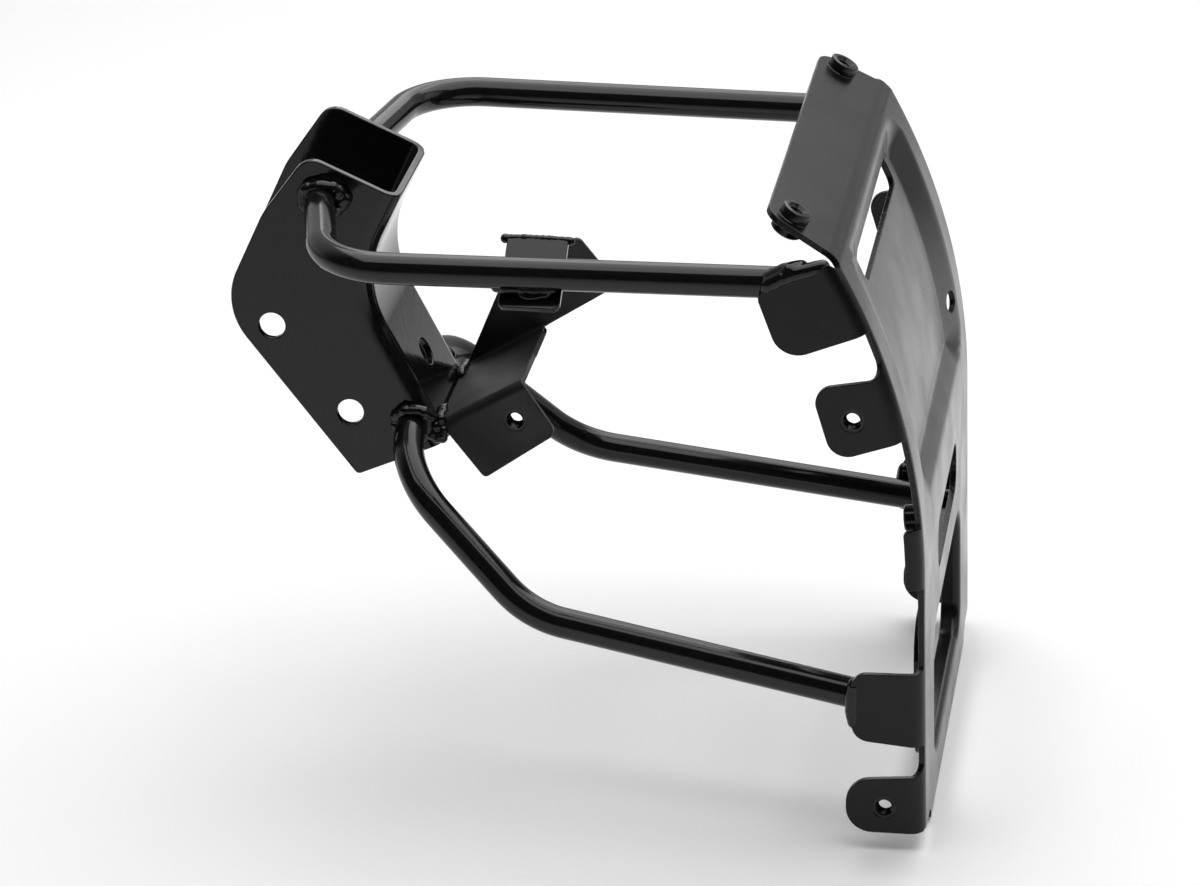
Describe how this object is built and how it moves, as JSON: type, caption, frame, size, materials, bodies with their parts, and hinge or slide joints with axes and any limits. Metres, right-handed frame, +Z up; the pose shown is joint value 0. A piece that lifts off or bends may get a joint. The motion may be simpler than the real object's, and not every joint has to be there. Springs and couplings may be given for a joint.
{
  "type": "front carrier bracket",
  "caption": "Welded carrier stay: a folded saddle with bolt holes, bent round bars and a stamped, flanged front plate with threaded collars.",
  "frame": {"origin": "on the axis of the upper pair of saddle bolt holes, midway between the two saddle plates", "axes": "+X forward, from the saddle to the front plate; +Y to the left; +Z up as it is carried"},
  "size_m": [0.2832, 0.2112, 0.2538],
  "materials": {
    "painted_steel": "gloss black paint on sheet steel",
    "painted_bar": "gloss black paint on round steel bar",
    "painted_weld": "gloss black paint over weld beads",
    "painted_thread": "gloss black paint over turned and threaded steel"
  },
  "bodies": {
    "root": {"saddle": "painted_steel", "upper_bar_right": "painted_bar", "upper_bar_left": "painted_bar", "lower_bar_right": "painted_bar", "lower_bar_left": "painted_bar", "front_plate": "painted_steel", "collar_right": "painted_thread", "collar_left": "painted_thread", "upper_flange_nut_right": "painted_thread", "upper_flange_nut_left": "painted_thread", "lower_flange_nut_right": "painted_thread", "lower_flange_nut_left": "painted_thread", "edge_nut_right": "painted_thread", "edge_nut_left": "painted_thread", "centre_bracket": "painted_steel", "tab_nut": "painted_thread", "clip_plate": "painted_steel", "upper_foot_weld_right": "painted_weld", "upper_foot_weld_left": "painted_weld", "lower_foot_weld_right": "painted_weld", "lower_foot_weld_left": "painted_weld", "upper_tab_weld_right": "painted_weld", "upper_tab_weld_left": "painted_weld", "lower_tab_weld_right": "painted_weld", "lower_tab_weld_left": "painted_weld", "clip_weld": "painted_weld", "clip_edge_bead": "painted_weld", "shelf_weld_right": "painted_weld", "shelf_weld_left": "painted_weld"}
  },
  "joints": []
}
